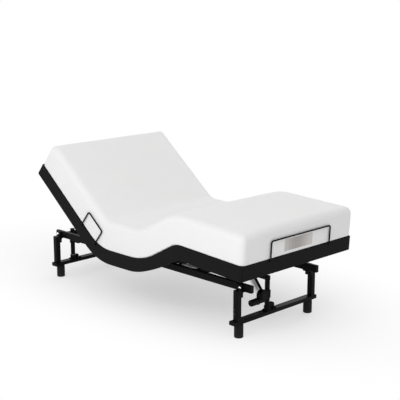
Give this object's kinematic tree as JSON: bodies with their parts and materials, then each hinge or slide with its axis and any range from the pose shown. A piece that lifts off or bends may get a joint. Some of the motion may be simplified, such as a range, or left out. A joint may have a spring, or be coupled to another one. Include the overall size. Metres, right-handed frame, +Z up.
{
  "type": "adjustable bed base",
  "caption": "Adjustable bed base with upholstered folding deck, lifting steel frame, round feet, wire mattress retainers and a mattress.",
  "frame": {"origin": "on the floor below the middle of the outline of the bed in its stored, raised pose", "axes": "+Z up, +Y from the foot end to the head end along the bed's length, +X across the bed to the right of someone looking from the foot end"},
  "size_m": [0.989, 1.9144, 0.9612],
  "materials": {
    "black_steel": "satin black powder coat",
    "black_plastic": "black, fine grain",
    "foot_rubber": "black, matt",
    "bright_steel": "satin steel",
    "plated_bolt": "bright plated",
    "dark_screw": "blackened",
    "nylon": "natural nylon",
    "drive_aluminium": "light grey, satin",
    "plywood": "birch plywood",
    "deck_fabric": "black woven upholstery",
    "mattress_fabric": "white knitted cover",
    "label_fabric": "taupe, plain"
  },
  "bodies": {
    "foot_leg": {"foot_cross_tube": "black_steel", "foot_tube_plugs": "black_plastic", "foot_end_feet": "foot_rubber", "foot_inner_legs": "bright_steel", "foot_column_base": "black_steel", "foot_lift_tube": "black_steel", "foot_lift_gearbox": "black_plastic", "foot_lift_motor": "black_plastic"},
    "head_leg": {"head_cross_tube": "black_steel", "head_tube_plugs": "black_plastic", "head_end_feet": "foot_rubber", "head_inner_legs": "bright_steel", "head_column_base": "black_steel", "head_lift_rod": "bright_steel"},
    "chassis": {"side_rails": "black_steel", "rail_end_caps": "black_plastic", "crossbars": "black_steel", "head_crossbar": "black_steel", "outer_posts": "black_steel", "post_brackets": "black_steel", "bracket_bolts": "plated_bolt", "glide_screws": "dark_screw", "glide_bushes": "nylon", "foot_lift_rod": "black_steel", "head_lift_tube": "black_steel", "head_lift_gearbox": "black_plastic", "head_lift_motor": "black_plastic", "torsion_brackets": "black_steel", "control_box": "black_plastic", "back_drive": "drive_aluminium", "drive_hangers": "black_steel", "seat_frame": "black_steel", "seat_board": "plywood", "seat_cover": "deck_fabric", "seat_mattress": "mattress_fabric", "hinge_pins": "bright_steel"},
    "back": {"back_frame": "black_steel", "back_board": "plywood", "back_cover": "deck_fabric", "back_mattress": "mattress_fabric", "side_retainers": "black_steel"},
    "lift_arm": {"back_lift_arm": "black_steel", "back_arm_rollers": "nylon"},
    "back_rod": {"back_drive_rod": "bright_steel"},
    "thigh": {"thigh_frame": "black_steel", "thigh_board": "plywood", "thigh_cover": "deck_fabric", "thigh_mattress": "mattress_fabric", "knee_pins": "bright_steel"},
    "calf": {"calf_frame": "black_steel", "calf_board": "plywood", "calf_cover": "deck_fabric", "calf_mattress": "mattress_fabric", "mattress_label": "label_fabric", "foot_retainer": "black_steel"},
    "links": {"calf_links": "black_steel"},
    "leg_tube": {"leg_drive": "drive_aluminium"},
    "leg_rod": {"leg_drive_rod": "bright_steel", "leg_drive_roller": "nylon"}
  },
  "joints": [
    {"name": "lift", "type": "slide", "parent": "foot_leg", "child": "chassis", "axis": [0, 0, 1], "range_m": [0, 0.11]},
    {"name": "head_lift", "type": "slide", "parent": "chassis", "child": "head_leg", "axis": [0, 0, -1], "range_m": [0, 0.11]},
    {"name": "back_hinge", "type": "hinge", "parent": "chassis", "child": "back", "pos_m": [0, 0.28946, 0.3125], "axis": [1, 0, 0], "range_deg": [-39, 21]},
    {"name": "thigh_hinge", "type": "hinge", "parent": "chassis", "child": "thigh", "pos_m": [0, -0.14354, 0.3125], "axis": [-1, 0, 0], "range_deg": [-28.7, 6]},
    {"name": "knee_hinge", "type": "hinge", "parent": "thigh", "child": "calf", "pos_m": [0, -0.42861, 0.46857], "axis": [-1, 0, 0], "range_deg": [-6.72, 31.95]},
    {"name": "arm_pivot", "type": "hinge", "parent": "chassis", "child": "lift_arm", "pos_m": [0, 0.18946, 0.2605], "axis": [1, 0, 0], "range_deg": [-24.85, 13.41]},
    {"name": "back_rod_slide", "type": "slide", "parent": "chassis", "child": "back_rod", "axis": [0, 1, 0], "range_m": [-0.0384, 0.0208]},
    {"name": "calf_link_pivot", "type": "hinge", "parent": "chassis", "child": "links", "pos_m": [0, -0.68154, 0.2995], "axis": [-1, 0, 0], "range_deg": [-33.86, 7.12]},
    {"name": "leg_drive_pivot", "type": "hinge", "parent": "chassis", "child": "leg_tube", "pos_m": [0.015, -0.64854, 0.118], "axis": [1, 0, 0], "range_deg": [-10.38, 2.21]},
    {"name": "leg_rod_slide", "type": "slide", "parent": "leg_tube", "child": "leg_rod", "axis": [0, 0.6157, 0.788], "range_m": [-0.1314, 0.0276]}
  ],
  "couplings": [
    {"joint": "head_lift", "follows": "lift", "ratio": 1},
    {"joint": "arm_pivot", "follows": "back_hinge", "ratio": 0.636},
    {"joint": "back_rod_slide", "follows": "back_hinge", "m_per_rad": 0.05619},
    {"joint": "knee_hinge", "follows": "thigh_hinge", "ratio": -1.1115},
    {"joint": "calf_link_pivot", "follows": "thigh_hinge", "ratio": 1.178},
    {"joint": "leg_drive_pivot", "follows": "thigh_hinge", "ratio": 0.36},
    {"joint": "leg_rod_slide", "follows": "thigh_hinge", "m_per_rad": 0.262}
  ]
}
